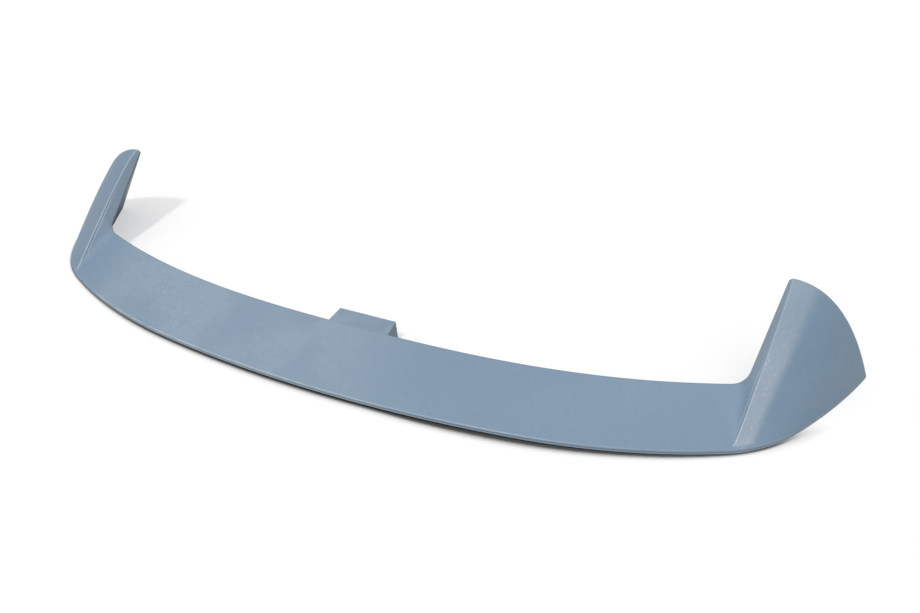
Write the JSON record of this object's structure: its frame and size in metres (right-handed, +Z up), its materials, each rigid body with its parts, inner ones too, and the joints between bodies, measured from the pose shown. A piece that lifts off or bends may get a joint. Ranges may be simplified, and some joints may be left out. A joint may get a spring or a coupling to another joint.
{
  "type": "car spoiler",
  "caption": "Crescent-shaped rear spoiler in one thin moulding, with an upswept hollow winglet at each end and a flat-walled locating tongue in the middle of its rear edge.",
  "frame": {"origin": "middle of the base of the part's box, on the surface it lies on", "axes": "+X along the span, +Y from the front edge to the winglet tips, +Z up as it lies"},
  "size_m": [1.2, 0.287, 0.116],
  "materials": {
    "gelcoat": "satin blue-grey gelcoat, unpainted"
  },
  "bodies": {
    "root": {"spoiler": "gelcoat"}
  },
  "joints": []
}
